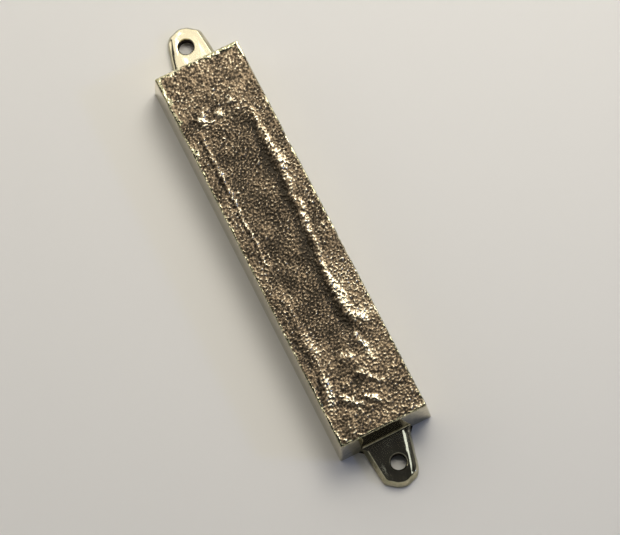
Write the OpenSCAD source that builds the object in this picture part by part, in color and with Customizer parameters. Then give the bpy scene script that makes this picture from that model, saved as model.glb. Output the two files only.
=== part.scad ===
// Mezuzah case: a cast bronze shell with a screw ear at each end, lying on its
// back. The shell is closed behind by a screwed brass cover and holds a rolled
// parchment in a clear sleeve.
// X runs across the case, Y along it towards the upper ear, Z out of the face.
// The origin is the middle of the back, on the plane that meets the doorpost.

/* [Case] */
// Length of the face between the two end walls
face_l = 100; // [100:1:120]
// Width of the face
face_w = 22; // [21.5:0.5:26]
// Height of the face plane above the back
face_h = 11.2; // [11:0.1:13]
// How far each wall leans out between the face and the back
draft = 0.85; // [0.4:0.05:1.2]
// Height of the cast relief above the face plane
relief_h = 0.4; // [0.2:0.05:0.8]

/* [Ears] */
// Distance from the edge of the face to the middle of a screw hole
hole_reach = 7.3; // [7:0.1:9]
// Diameter of each screw hole
hole_d = 3.8; // [3:0.1:4.2]
// Chamfer at the mouth of each screw hole
hole_chamfer = 0.3; // [0.1:0.05:0.4]
// Thickness of each ear
ear_t = 2.4; // [2:0.1:3]
// Width of each ear where it leaves the end wall
ear_root_w = 12.4; // [11:0.1:14]
// Distance from the middle of a screw hole to the tip of its ear
ear_tip = 5.4; // [5.1:0.1:6]
// Radius of the round end of each ear
ear_end_r = 4.9; // [4.5:0.1:5]
// Radius of the hollow corner between each ear and the end wall
ear_fillet_r = 2.5; // [1:0.1:3]

/* [Parchment] */
// Height of the parchment sheet, which is the length of the roll
sheet_h = 80; // [70:1:80]
// Width of the parchment sheet before rolling
sheet_w = 80; // [70:1:85]
// Thickness of the parchment
sheet_t = 0.3; // [0.25:0.05:0.3]
// Outer diameter of the roll
roll_d = 7.2; // [7:0.1:7.2]

/* [Clear sleeve] */
// Outer diameter of the sleeve
sleeve_d = 7.8; // [7.7:0.1:7.8]
// Wall of the sleeve
sleeve_wall = 0.2; // [0.15:0.05:0.2]
// Length of the sleeve
sleeve_l = 83; // [81:0.5:83]

/* [Back cover] */
// Width of the scroll pocket that the cover closes
pocket_w = 18; // [17:0.5:18]
// Land between each end of the pocket and the end of the cover
cover_land = 6; // [6:0.1:6.5]
// Land between each side of the pocket and the side of the cover
cover_side_land = 0.8; // [0.5:0.1:0.9]
// Thickness of the cover plate
cover_t = 1; // [1:0.1:1.2]
// How deep the cover's back lies inside the back of the case
cover_inset = 0.1; // [0.05:0.05:0.2]

/* [Cover screws] */
// Diameter of the shank
screw_d = 2.5; // [2.4:0.1:2.8]
// Length from the head's flat to the tip
screw_l = 6; // [5:0.5:7]
// Diameter of the countersunk head
screw_head_d = 4.4; // [4:0.1:4.4]

/* [Hidden] */
$fn = 64;
eps = 0.01;

// Gaps between the pieces
cover_gap = 0.15;
thread_gap = 0.05;
head_gap = 0.06;
sleeve_gap = 0.25;
sleeve_end_gap = 1;

// Ears: the side walls lean in by side_angle and meet the round end tangentially
hole_y = face_l / 2 + hole_reach;
end_y = ear_tip - ear_end_r;
root_x = ear_root_w / 2;
root_y = -hole_reach;
side_angle = acos(ear_end_r / norm([root_x, end_y - root_y]))
    - atan2(end_y - root_y, root_x);
side_out = [cos(side_angle), sin(side_angle)];

// Pocket and cover
rebate_t = cover_inset + cover_t + 0.1;
pocket_l = sleeve_l + 2 * sleeve_end_gap;
pocket_top = rebate_t + sleeve_d + 2 * sleeve_gap;
pocket_corner_r = 2;
cover_l = pocket_l + 2 * cover_land;
cover_w = pocket_w + 2 * cover_side_land;
cover_corner_r = 2;
sleeve_z = rebate_t + sleeve_gap + sleeve_d / 2;

// Cover screws: a 90 degree countersink is as deep as its radius shrinks
screw_y = pocket_l / 2 + cover_land / 2;
head_h = (screw_head_d - screw_d) / 2;
sink_d = screw_head_d + 2 * head_gap;
tapped_d = screw_d + 2 * thread_gap;
tapped_depth = cover_inset + screw_l + 0.8;
slot_w = 0.6;
slot_depth = 0.5;

// The long ridges of the relief, each point [x, y, half width]
left_ridge = [
    [-7.2, 33, 0.25], [-7.1, 24, 0.35], [-7.0, 18, 0.5], [-7.2, 10, 0.4],
    [-7.1, 0, 0.3], [-7.3, -8, 0.3], [-7.0, -20, 0.35], [-7.4, -30, 0.3],
    [-7.8, -36, 0.5], [-9.0, -39.5, 0.4]
];
right_ridge = [
    [6.3, 33, 0.3], [6.0, 26, 0.5], [6.1, 18, 0.7], [5.8, 11, 0.6],
    [6.0, 5, 0.7], [5.2, 0, 0.5], [4.6, -6, 0.5], [3.9, -12, 0.6],
    [4.0, -19, 0.6], [4.9, -23, 0.7], [6.6, -25.5, 0.6]
];
// Mounds of the relief, each [x, y, radius]
mounds = [[-4.6, 35.2, 1.2], [-0.6, 35, 1], [3.6, 34.4, 1.3],
          [4.4, -29.6, 1.1], [-0.6, -31.6, 1.2], [4.6, -33.2, 1.2]];

function reversed(list) = [for (i = [len(list) - 1 : -1 : 0]) list[i]];

// Outline of a ridge: down its left side, then back up its right side
function ridge_outline(path) = concat(
    [for (p = path) [p[0] - p[2], p[1]]],
    [for (p = reversed(path)) [p[0] + p[2], p[1]]]
);

// Archimedean spiral of the roll. Its pitch is the sheet and the air between two
// turns, and the sheet's width sets how many turns it makes.
roll_pitch = sheet_t + 0.08;
roll_end_r = roll_d / 2 - sheet_t;
spiral_turns = (roll_end_r - sqrt(roll_end_r * roll_end_r
    - sheet_w * roll_pitch / PI)) / roll_pitch;
spiral_steps = 96;
function spiral_r(i) =
    roll_end_r - roll_pitch * spiral_turns * (1 - i / spiral_steps);
function spiral_angle(i) = 360 * spiral_turns * i / spiral_steps - 90;
function spiral_side(grow) = [
    for (i = [0 : spiral_steps])
        (spiral_r(i) + grow) * [cos(spiral_angle(i)), sin(spiral_angle(i))]
];

// A plate with round upright corners, standing on z = 0
module round_plate(l, w, t, r) {
    linear_extrude(t) union() {
        square([w - 2 * r, l], center = true);
        square([w, l - 2 * r], center = true);
        for (x = [-1, 1], y = [-1, 1])
            translate([x * (w / 2 - r), y * (l / 2 - r)]) circle(r);
    }
}

// Section of a bar of the case: w wide on top, wider at the back by the draft
module drafted_section(w) {
    polygon([[-w / 2 - draft, 0], [w / 2 + draft, 0],
             [w / 2, face_h], [-w / 2, face_h]]);
}

// Body of the case: a long and a cross bar, both drafted, where they meet
module drafted_body() {
    intersection() {
        translate([0, face_l, 0]) rotate([90, 0, 0])
            linear_extrude(2 * face_l) drafted_section(face_w);
        translate([-face_w, 0, 0]) rotate([90, 0, 90])
            linear_extrude(2 * face_w) drafted_section(face_l);
    }
}

// Hollow corner on the right of an ear's root, tangent to the wall and the side
module ear_fillet() {
    wall_y = root_y + draft;
    fillet_y = wall_y + ear_fillet_r;
    fillet_x = root_x + (ear_fillet_r - (fillet_y - root_y) * side_out[1])
        / side_out[0];
    touch = [fillet_x, fillet_y] - ear_fillet_r * side_out;
    difference() {
        polygon([[0, root_y], [fillet_x, root_y], [fillet_x, wall_y],
                 touch, [0, touch[1]]]);
        translate([fillet_x, fillet_y]) circle(ear_fillet_r);
    }
}

// Plan of one ear, with its screw hole at the origin and its root towards -Y
module ear_plan() {
    touch = [0, end_y] + ear_end_r * side_out;
    translate([0, end_y]) circle(ear_end_r);
    polygon([[-root_x, root_y], [root_x, root_y],
             touch, [0, end_y], [-touch[0], touch[1]]]);
    ear_fillet();
    mirror([1, 0]) ear_fillet();
}

// Hole through one ear, with a chamfered mouth on the front
module ear_hole() {
    translate([0, 0, -1]) cylinder(d = hole_d, h = ear_t + 2);
    translate([0, 0, ear_t - hole_chamfer])
        cylinder(d1 = hole_d, d2 = hole_d + 2 * hole_chamfer + 2 * eps,
                 h = hole_chamfer + eps);
}

// Long ridges and mounds that stand on the face
module relief() {
    translate([0, 0, face_h - eps]) linear_extrude(relief_h + eps) {
        polygon(ridge_outline(left_ridge));
        polygon(ridge_outline(right_ridge));
        for (m = mounds) translate([m[0], m[1]]) circle(m[2], $fn = 24);
    }
}

// Cast shell: drafted body, an ear at each end, scroll pocket, cover rebate,
// and a tapped hole in each solid end
module case() {
    color([0.55, 0.47, 0.34]) difference() {
        union() {
            drafted_body();
            relief();
            for (turn = [0, 180]) rotate([0, 0, turn]) translate([0, hole_y, 0])
                linear_extrude(ear_t) ear_plan();
        }
        for (turn = [0, 180]) rotate([0, 0, turn]) {
            translate([0, hole_y, 0]) ear_hole();
            translate([0, screw_y, -1]) cylinder(d = tapped_d, h = tapped_depth + 1);
        }
        translate([0, 0, -1]) round_plate(pocket_l, pocket_w, pocket_top + 1,
                                          pocket_corner_r);
        translate([0, 0, -1]) round_plate(cover_l + 2 * cover_gap,
            cover_w + 2 * cover_gap, rebate_t + 1, cover_corner_r + cover_gap);
    }
}

// Brass plate in the rebate, countersunk from behind for its two screws
module back_cover() {
    color([0.72, 0.58, 0.33]) translate([0, 0, cover_inset]) difference() {
        round_plate(cover_l, cover_w, cover_t, cover_corner_r);
        for (y = [-screw_y, screw_y]) translate([0, y, 0]) {
            translate([0, 0, -1]) cylinder(d = tapped_d, h = cover_t + 2);
            translate([0, 0, -eps])
                cylinder(d1 = sink_d + 2 * eps, d2 = sink_d - 2 * head_h,
                         h = head_h + eps);
        }
    }
}

// Countersunk slotted screw, its head's flat level with the cover's back
module cover_screw(y) {
    color([0.76, 0.62, 0.36]) translate([0, y, cover_inset]) difference() {
        union() {
            cylinder(d1 = screw_head_d, d2 = screw_d, h = head_h);
            cylinder(d = screw_d, h = screw_l);
        }
        translate([-screw_head_d, -slot_w / 2, -1])
            cube([2 * screw_head_d, slot_w, slot_depth + 1]);
    }
}

// Parchment rolled on its left edge into a loose spiral, lying along Y
module scroll() {
    color([0.86, 0.79, 0.62]) translate([0, sheet_h / 2, sleeve_z])
        rotate([90, 0, 0]) linear_extrude(sheet_h)
            polygon(concat(spiral_side(sheet_t), reversed(spiral_side(0))));
}

// Clear tube that keeps damp off the parchment
module scroll_sleeve() {
    color([0.85, 0.9, 0.92, 0.4]) translate([0, sleeve_l / 2, sleeve_z])
        rotate([90, 0, 0]) difference() {
            cylinder(d = sleeve_d, h = sleeve_l);
            translate([0, 0, -1])
                cylinder(d = sleeve_d - 2 * sleeve_wall, h = sleeve_l + 2);
        }
}

case();
back_cover();
cover_screw(screw_y);  // cover_screw_upper
cover_screw(-screw_y);  // cover_screw_lower
scroll();
scroll_sleeve();
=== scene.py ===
"""Mezuzah case: a cast bronze shell with a rough relief front, lying on its back.

Lengths inside the classes are in millimetres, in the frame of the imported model: X across
the case, Y along it towards the upper ear, Z out of the face. A mesh is scaled to metres
when it is made.
"""

import logging
import math
from collections.abc import Callable, Iterable
from dataclasses import dataclass, field
from enum import Enum
from typing import Any

import bmesh
import bpy
import numpy as np
from mathutils import Matrix, Vector


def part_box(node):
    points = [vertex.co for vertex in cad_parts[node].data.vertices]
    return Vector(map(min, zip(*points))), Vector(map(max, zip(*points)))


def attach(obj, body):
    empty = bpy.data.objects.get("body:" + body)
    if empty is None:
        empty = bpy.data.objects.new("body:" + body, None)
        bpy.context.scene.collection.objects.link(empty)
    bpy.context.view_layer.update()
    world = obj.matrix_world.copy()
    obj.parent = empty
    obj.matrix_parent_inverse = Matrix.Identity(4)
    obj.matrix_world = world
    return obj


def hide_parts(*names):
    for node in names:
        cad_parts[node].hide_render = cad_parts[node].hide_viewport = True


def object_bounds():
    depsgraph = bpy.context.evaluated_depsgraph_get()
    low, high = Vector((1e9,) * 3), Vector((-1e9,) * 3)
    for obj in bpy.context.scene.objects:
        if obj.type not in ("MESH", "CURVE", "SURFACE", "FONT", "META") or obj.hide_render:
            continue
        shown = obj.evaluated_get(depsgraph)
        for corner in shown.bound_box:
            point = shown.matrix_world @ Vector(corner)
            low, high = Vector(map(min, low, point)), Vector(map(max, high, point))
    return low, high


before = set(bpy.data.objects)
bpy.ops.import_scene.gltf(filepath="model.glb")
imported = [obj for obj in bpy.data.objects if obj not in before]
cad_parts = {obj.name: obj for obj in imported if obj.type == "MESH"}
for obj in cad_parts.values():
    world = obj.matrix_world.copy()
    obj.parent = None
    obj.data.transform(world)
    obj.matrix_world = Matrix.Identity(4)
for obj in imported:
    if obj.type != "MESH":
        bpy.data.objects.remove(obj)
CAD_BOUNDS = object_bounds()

MM = 0.001
Pair = tuple[float, float]
Triple = tuple[float, float, float]
Colour = Triple
Curve = tuple[Pair, ...]
log = logging.getLogger("mezuzah_case")


# --------------------------------------------------------------------------- numbers


def smooth(low: float, high: float, value: np.ndarray) -> np.ndarray:
    """Ease from 0 at low to 1 at high: 3t^2 - 2t^3 of the clipped fraction t."""
    t = np.clip((value - low) / (high - low), 0.0, 1.0)
    return t * t * (3.0 - 2.0 * t)


def along_curve(curve: Curve, value: float | np.ndarray) -> float | np.ndarray:
    """Straight lines through the curve's (place, height) points, which may run either way."""
    return np.interp(value, *np.array(sorted(curve)).T)


def round_corners(x: np.ndarray, y: np.ndarray, half_x: float, half_y: float,
                  radius: float) -> tuple[np.ndarray, np.ndarray]:
    """Bend the corners of a rectangle, and what lies inside them, into quarter discs.

    In each corner square, with u and v running 0 to 1 outwards, u becomes
    u * sqrt(1 - v^2 / 2) and v becomes v * sqrt(1 - u^2 / 2).

    Args:
        x, y: Points inside or on the rectangle.
        half_x, half_y: Half the rectangle's width and length.
        radius: Radius of each corner.

    Returns:
        The moved x and y.
    """
    u = np.clip((np.abs(x) - (half_x - radius)) / radius, 0.0, 1.0)
    v = np.clip((np.abs(y) - (half_y - radius)) / radius, 0.0, 1.0)
    inside_x = np.minimum(np.abs(x), half_x - radius)
    inside_y = np.minimum(np.abs(y), half_y - radius)
    new_x = np.sign(x) * (inside_x + radius * u * np.sqrt(1.0 - v * v / 2.0))
    new_y = np.sign(y) * (inside_y + radius * v * np.sqrt(1.0 - u * u / 2.0))
    return new_x, new_y


def closed(loop: np.ndarray) -> np.ndarray:
    """A loop of points with its first point repeated at the end."""
    return np.concatenate([loop, loop[:1]])


def at_height(plan: np.ndarray, z: float | np.ndarray) -> np.ndarray:
    """Plan points (n, 2) lifted to height z, as (n, 3)."""
    return np.column_stack([plan, np.broadcast_to(z, len(plan))])


def rows_between(first: np.ndarray, last: np.ndarray, share: np.ndarray) -> np.ndarray:
    """Loops on straight lines from one closed loop to another, at shares of the way."""
    share = np.asarray(share)[:, None, None]
    return closed(first) * (1 - share) + closed(last) * share


def round_turns(path: np.ndarray, radii: np.ndarray, per_arc: int,
                per_side: int) -> np.ndarray:
    """Round the corners of an open path with arcs that meet its sides tangentially.

    An arc of radius r that turns by t starts r * tan(t / 2) before its corner.

    Args:
        path: Corners (n, 2), the first and the last being plain ends.
        radii: Radius at each of the n - 2 inner corners.
        per_arc: Points on each arc.
        per_side: Points between two arcs, which run straight.

    Returns:
        The points from the start of the first arc to the end of the last.
    """
    ahead = np.diff(path, axis=0)
    ahead /= np.linalg.norm(ahead, axis=1)[:, None]
    heading = np.unwrap(np.arctan2(ahead[:, 1], ahead[:, 0]))
    turn = np.diff(heading)
    way = np.sign(turn)[:, None]
    start = path[1:-1] - ahead[:-1] * (radii * np.tan(np.abs(turn) / 2))[:, None]
    left = np.column_stack([-ahead[:-1, 1], ahead[:-1, 0]])
    centre = start + left * way * radii[:, None]
    angle = heading[:-1, None] + turn[:, None] * np.linspace(0, 1, per_arc)
    spoke = np.stack([np.sin(angle), -np.cos(angle)], -1)
    arcs = centre[:, None] + spoke * (way * radii[:, None])[:, :, None]
    share = np.linspace(0, 1, per_side + 2)[1:-1, None]
    sides = arcs[:-1, -1:] * (1 - share) + arcs[1:, :1] * share
    return np.concatenate([*np.concatenate([arcs[:-1], sides], axis=1), arcs[-1]])


def spokes(ring: np.ndarray, centre: np.ndarray) -> np.ndarray:
    """A unit direction from a centre for each point of a ring, never doubling back.

    Half of each direction is the point's own angle and half is an even share of the turn.
    """
    own = np.unwrap(np.arctan2(*(ring[:, :2] - centre).T[::-1]))
    turn = math.copysign(2 * math.pi, own[-1] - own[0])
    even = own[0] + turn * np.arange(len(ring)) / len(ring)
    angle = (own + even) / 2
    return np.column_stack([np.cos(angle), np.sin(angle)])


class NoiseSheet:
    """A repeating sheet of noise with one grain size.

    White noise is weighted, in frequency, by a bell around 1 / wavelength on a log scale,
    and scaled to a spread of 1.
    """

    MARGIN = 6.0
    SAMPLES_PER_WAVE = 7

    def __init__(self, wavelength: float, seed: int, width: float, length: float,
                 spread: float = 0.3) -> None:
        """Make the sheet.

        Args:
            wavelength: Distance between neighbouring grains, in mm.
            seed: Seed of the white noise.
            width, length: What the sheet has to cover before it repeats, in mm.
            spread: Width of the bell, as a share of an e-fold of frequency.
        """
        self.pitch = wavelength / self.SAMPLES_PER_WAVE
        rows = int((length + self.MARGIN) / self.pitch)
        columns = int((width + self.MARGIN) / self.pitch)
        white = np.random.default_rng(seed).standard_normal((rows, columns))
        frequency = np.hypot(np.fft.fftfreq(rows, self.pitch)[:, None],
                             np.fft.fftfreq(columns, self.pitch)[None, :])
        frequency[0, 0] = 1e-6
        bell = np.exp(-0.5 * (np.log(frequency * wavelength) / spread) ** 2)
        values = np.fft.ifft2(np.fft.fft2(white) * bell).real
        self.values = values / values.std()

    def __call__(self, x: np.ndarray, y: np.ndarray) -> np.ndarray:
        """The noise at points in mm, blended from the four samples round each."""
        rows, columns = self.values.shape
        u, v = np.broadcast_arrays(x / self.pitch, y / self.pitch)
        i, j = np.floor(u).astype(int), np.floor(v).astype(int)
        u, v = u - i, v - j
        i0, j0, i1, j1 = i % columns, j % rows, (i + 1) % columns, (j + 1) % rows
        near = self.values[j0, i0] * (1 - u) + self.values[j0, i1] * u
        far = self.values[j1, i0] * (1 - u) + self.values[j1, i1] * u
        return near * (1 - v) + far * v


# --------------------------------------------------------------------------- meshes


class Quilt:
    """Patches of one closed surface, sewn together where their edges meet.

    Every vertex carries two marks: polish (0 as cast, 1 polished) and peak (0 in a
    hollow, 1 on a rubbed high spot). The peak also carries painted shade and painted
    highlight: dark valleys and shadows on the face, lit ridge tops and darker walls.
    """

    WELD = 1e-4

    def __init__(self) -> None:
        """Start with no patches."""
        self._points: list[np.ndarray] = []
        self._marks: list[np.ndarray] = []
        self._faces: list[np.ndarray] = []
        self._count = 0

    def _add(self, points: np.ndarray, faces: np.ndarray, polish: Any, peak: Any) -> None:
        """Store one patch of triangles."""
        marks = np.column_stack([np.broadcast_to(np.ravel(polish), len(points)),
                                 np.broadcast_to(np.ravel(peak), len(points))])
        self._points.append(points)
        self._marks.append(marks)
        self._faces.append(faces + self._count)
        self._count += len(points)

    def grid(self, points: np.ndarray, polish: Any = 1.0, peak: Any = 1.0,
             keep: np.ndarray | None = None) -> None:
        """Add a patch of rows and columns of points.

        Args:
            points: (rows, columns, 3).
            polish, peak: One number, or one for each point.
            keep: (rows - 1, columns - 1), true for the cells that have a face.
        """
        rows, columns = points.shape[:2]
        index = np.arange(rows * columns).reshape(rows, columns)
        cells = np.stack([index[:-1, :-1], index[:-1, 1:], index[1:, 1:], index[1:, :-1]], -1)
        cells = cells.reshape(-1, 4) if keep is None else cells[keep]
        faces = np.concatenate([cells[:, [0, 1, 2]], cells[:, [0, 2, 3]]])
        self._add(points.reshape(-1, 3), faces, polish, peak)

    def rings(self, loops: Iterable[np.ndarray], polish: Any = 1.0, peak: Any = 1.0) -> None:
        """Add a patch whose rows each close on themselves."""
        self.grid(np.stack([closed(loop) for loop in loops]), polish, peak)

    def between(self, first: np.ndarray, last: np.ndarray, rows: int = 1,
                polish: float = 1.0, peak: float = 1.0) -> None:
        """Add straight rows from one loop of points to another of the same length."""
        self.grid(rows_between(first, last, np.linspace(0.0, 1.0, rows + 1)), polish, peak)

    def taper(self, fine: np.ndarray, coarse: np.ndarray, polish: float = 1.0,
              peak: float = 1.0) -> None:
        """Add a strip from a fine loop to a loop with a quarter of its points."""
        count = len(coarse)
        c0 = np.arange(count) + len(fine)
        c1 = np.roll(c0, -1)
        f = [(4 * np.arange(count) + step) % len(fine) for step in range(5)]
        faces = [(c0, f[0], f[1]), (c0, f[1], f[2]), (c0, f[2], c1),
                 (c1, f[2], f[3]), (c1, f[3], f[4])]
        self._add(np.concatenate([fine, coarse]),
                  np.concatenate([np.column_stack(face) for face in faces]), polish, peak)

    def fill(self, loop: np.ndarray, centre: np.ndarray, polish: float = 1.0,
             peak: float = 1.0) -> None:
        """Close a loop with a fan of triangles round a centre."""
        self.between(loop, np.broadcast_to(centre, loop.shape), 1, polish, peak)

    def sew(self, name: str, sharp_angle: float = 38.0) -> bpy.types.Object:
        """Weld the patches, turn every face outwards and make the object.

        Args:
            name: Name of the object.
            sharp_angle: Bend, in degrees, past which an edge off the cast face is sharp.

        Returns:
            The object, at the origin, in metres.
        """
        points = np.concatenate(self._points)
        _, first, where = np.unique(np.round(points / self.WELD).astype(np.int64), axis=0,
                                    return_index=True, return_inverse=True)
        faces = where.reshape(-1)[np.concatenate(self._faces)]
        whole = ((faces[:, 0] != faces[:, 1]) & (faces[:, 1] != faces[:, 2])
                 & (faces[:, 2] != faces[:, 0]))
        obj = mesh_object(name, points[first] * MM, faces[whole])
        marks = np.concatenate(self._marks)[first]
        work = bmesh.new()
        work.from_mesh(obj.data)
        bmesh.ops.recalc_face_normals(work, faces=work.faces)
        open_edges = sum(not edge.is_manifold for edge in work.edges)
        work.to_mesh(obj.data)
        work.free()
        for column, mark in enumerate(("polish", "peak")):
            attribute = obj.data.attributes.new(mark, "FLOAT", "POINT")
            attribute.data.foreach_set("value", marks[:, column].astype(np.float32))
        set_sharp_edges(obj.data, sharp_angle, marks[:, 0] < 0.5)
        log.info("%s: %d triangles, %d open edges", name, whole.sum(), open_edges)
        return obj


def mesh_object(name: str, points: np.ndarray, faces: np.ndarray) -> bpy.types.Object:
    """A smooth-shaded object from points (n, 3) in metres and triangles (m, 3)."""
    mesh = bpy.data.meshes.new(name)
    mesh.vertices.add(len(points))
    mesh.vertices.foreach_set("co", points.astype(np.float32).ravel())
    mesh.loops.add(3 * len(faces))
    mesh.loops.foreach_set("vertex_index", faces.astype(np.int32).ravel())
    mesh.polygons.add(len(faces))
    mesh.polygons.foreach_set("loop_start", np.arange(0, 3 * len(faces), 3, dtype=np.int32))
    mesh.polygons.foreach_set("use_smooth", np.ones(len(faces), bool))
    mesh.update(calc_edges=True)
    mesh.validate()
    obj = bpy.data.objects.new(name, mesh)
    bpy.context.scene.collection.objects.link(obj)
    return obj


def set_sharp_edges(mesh: bpy.types.Mesh, angle: float, rough: np.ndarray) -> None:
    """Mark the edges that bend more than an angle as sharp, except on rough ground.

    Args:
        mesh: The mesh.
        angle: The bend, in degrees.
        rough: True for each vertex that lies on the rough cast face.
    """
    mesh.set_sharp_from_angle(angle=math.radians(angle))
    marked = mesh.attributes.get("sharp_edge")
    if marked is None:
        return
    sharp = np.zeros(len(mesh.edges), bool)
    marked.data.foreach_get("value", sharp)
    ends = np.zeros(2 * len(mesh.edges), np.int32)
    mesh.edges.foreach_get("vertices", ends)
    sharp &= ~rough[ends.reshape(-1, 2)].all(axis=1)
    marked.data.foreach_set("value", sharp)


# --------------------------------------------------------------------------- shaders


class Value:
    """A number socket of a node tree, with the operators that add Math nodes."""

    def __init__(self, graph: "Graph", socket: bpy.types.NodeSocket) -> None:
        """Wrap a socket of a tree."""
        self.graph = graph
        self.socket = socket

    def _math(self, operation: str, *others: Any) -> "Value":
        """A Math node on this value and others."""
        return self.graph.math(operation, self, *others)

    def __add__(self, other: Any) -> "Value":
        """self + other."""
        return self._math("ADD", other)

    def __radd__(self, other: Any) -> "Value":
        """other + self."""
        return self._math("ADD", other)

    def __sub__(self, other: Any) -> "Value":
        """self - other."""
        return self._math("SUBTRACT", other)

    def __rsub__(self, other: Any) -> "Value":
        """other - self."""
        return self.graph.math("SUBTRACT", other, self)

    def __mul__(self, other: Any) -> "Value":
        """self * other."""
        return self._math("MULTIPLY", other)

    def __rmul__(self, other: Any) -> "Value":
        """other * self."""
        return self._math("MULTIPLY", other)

    def clamp(self) -> "Value":
        """The value held between 0 and 1."""
        return self._math("MAXIMUM", 0.0)._math("MINIMUM", 1.0)

    def ramp(self, low: float, high: float, start: float = 0.0, end: float = 1.0) -> "Value":
        """Eased from start at low to end at high."""
        return Value(self.graph, self.graph.node(
            "ShaderNodeMapRange", {"interpolation_type": "SMOOTHSTEP", "clamp": True},
            {"Value": self, "From Min": low, "From Max": high, "To Min": start,
             "To Max": end}).outputs["Result"])


class Graph:
    """A node tree under construction."""

    def __init__(self, tree: bpy.types.NodeTree) -> None:
        """Empty the tree."""
        self.tree = tree
        self.tree.nodes.clear()

    def node(self, kind: str, settings: dict[str, Any] | None = None,
             inputs: dict[Any, Any] | None = None) -> bpy.types.Node:
        """Add a node.

        Args:
            kind: The node's type name.
            settings: Properties, set first.
            inputs: Socket name or index to a number, a colour, a socket or a Value.

        Returns:
            The node.
        """
        node = self.tree.nodes.new(kind)
        for key, setting in (settings or {}).items():
            setattr(node, key, setting)
        for key, value in (inputs or {}).items():
            self._feed(node.inputs[key], value)
        return node

    def _feed(self, socket: bpy.types.NodeSocket, value: Any) -> None:
        """Link a socket or a Value to a socket, or set the socket's own value."""
        if isinstance(value, Value):
            value = value.socket
        if isinstance(value, bpy.types.NodeSocket):
            self.tree.links.new(value, socket)
        elif isinstance(value, tuple) and len(value) == 3 and socket.type == "RGBA":
            socket.default_value = (*value, 1.0)
        else:
            socket.default_value = value

    def math(self, operation: str, *values: Any) -> Value:
        """A Math node on numbers or Values."""
        node = self.node("ShaderNodeMath", {"operation": operation}, dict(enumerate(values)))
        return Value(self, node.outputs[0])


class Paint(Graph):
    """A material under construction, with one Principled shader."""

    def __init__(self, name: str) -> None:
        """Make an empty material with a shader and an output."""
        self.material = bpy.data.materials.new(name)
        self.material.use_nodes = True
        super().__init__(self.material.node_tree)
        self.shader = self.node("ShaderNodeBsdfPrincipled")
        self.node("ShaderNodeOutputMaterial", inputs={"Surface": self.shader.outputs["BSDF"]})
        self.place = self.node("ShaderNodeTexCoord").outputs["Object"]

    def mark(self, name: str) -> Value:
        """A mark that the mesh carries on its vertices."""
        node = self.node("ShaderNodeAttribute",
                         {"attribute_type": "GEOMETRY", "attribute_name": name})
        return Value(self, node.outputs["Fac"])

    def stretched(self, scale: Triple) -> bpy.types.NodeSocket:
        """Object coordinates in millimetres, scaled along each axis."""
        factors = tuple(part / MM for part in scale)
        return self.node("ShaderNodeMapping", {"vector_type": "POINT"},
                         {"Vector": self.place, "Scale": factors}).outputs["Vector"]

    def noise(self, size: float, detail: float = 2.0, roughness: float = 0.5,
              scale: Triple = (1.0, 1.0, 1.0)) -> Value:
        """Cloudy noise with patches of about size mm."""
        node = self.node("ShaderNodeTexNoise", {"noise_dimensions": "3D"},
                         {"Vector": self.stretched(scale), "Scale": 1.0 / size,
                          "Detail": detail, "Roughness": roughness})
        return Value(self, node.outputs["Fac"])

    def cells(self, size: float) -> Value:
        """Distance from the middle of cells about size mm across."""
        node = self.node("ShaderNodeTexVoronoi",
                         {"voronoi_dimensions": "3D", "feature": "F1"},
                         {"Vector": self.stretched((1.0, 1.0, 1.0)), "Scale": 1.0 / size})
        return Value(self, node.outputs["Distance"])

    def blend(self, factor: Any, first: Any, second: Any) -> bpy.types.NodeSocket:
        """Mix two colours."""
        node = self.node("ShaderNodeMix", {"data_type": "RGBA"},
                         {"Factor": factor, 6: first, 7: second})
        return node.outputs[2]

    def bump(self, height: Value, distance: float, strength: float = 1.0) -> None:
        """Roughen the shader's normal by a height of about distance mm."""
        node = self.node("ShaderNodeBump", inputs={"Height": height, "Strength": strength,
                                                   "Distance": distance * MM})
        self._feed(self.shader.inputs["Normal"], node.outputs["Normal"])

    def finish(self, **sockets: Any) -> bpy.types.Material:
        """Set the shader's sockets by name, with _ for a space, and return the material."""
        for name, value in sockets.items():
            self._feed(self.shader.inputs[name.replace("_", " ")], value)
        return self.material


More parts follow.
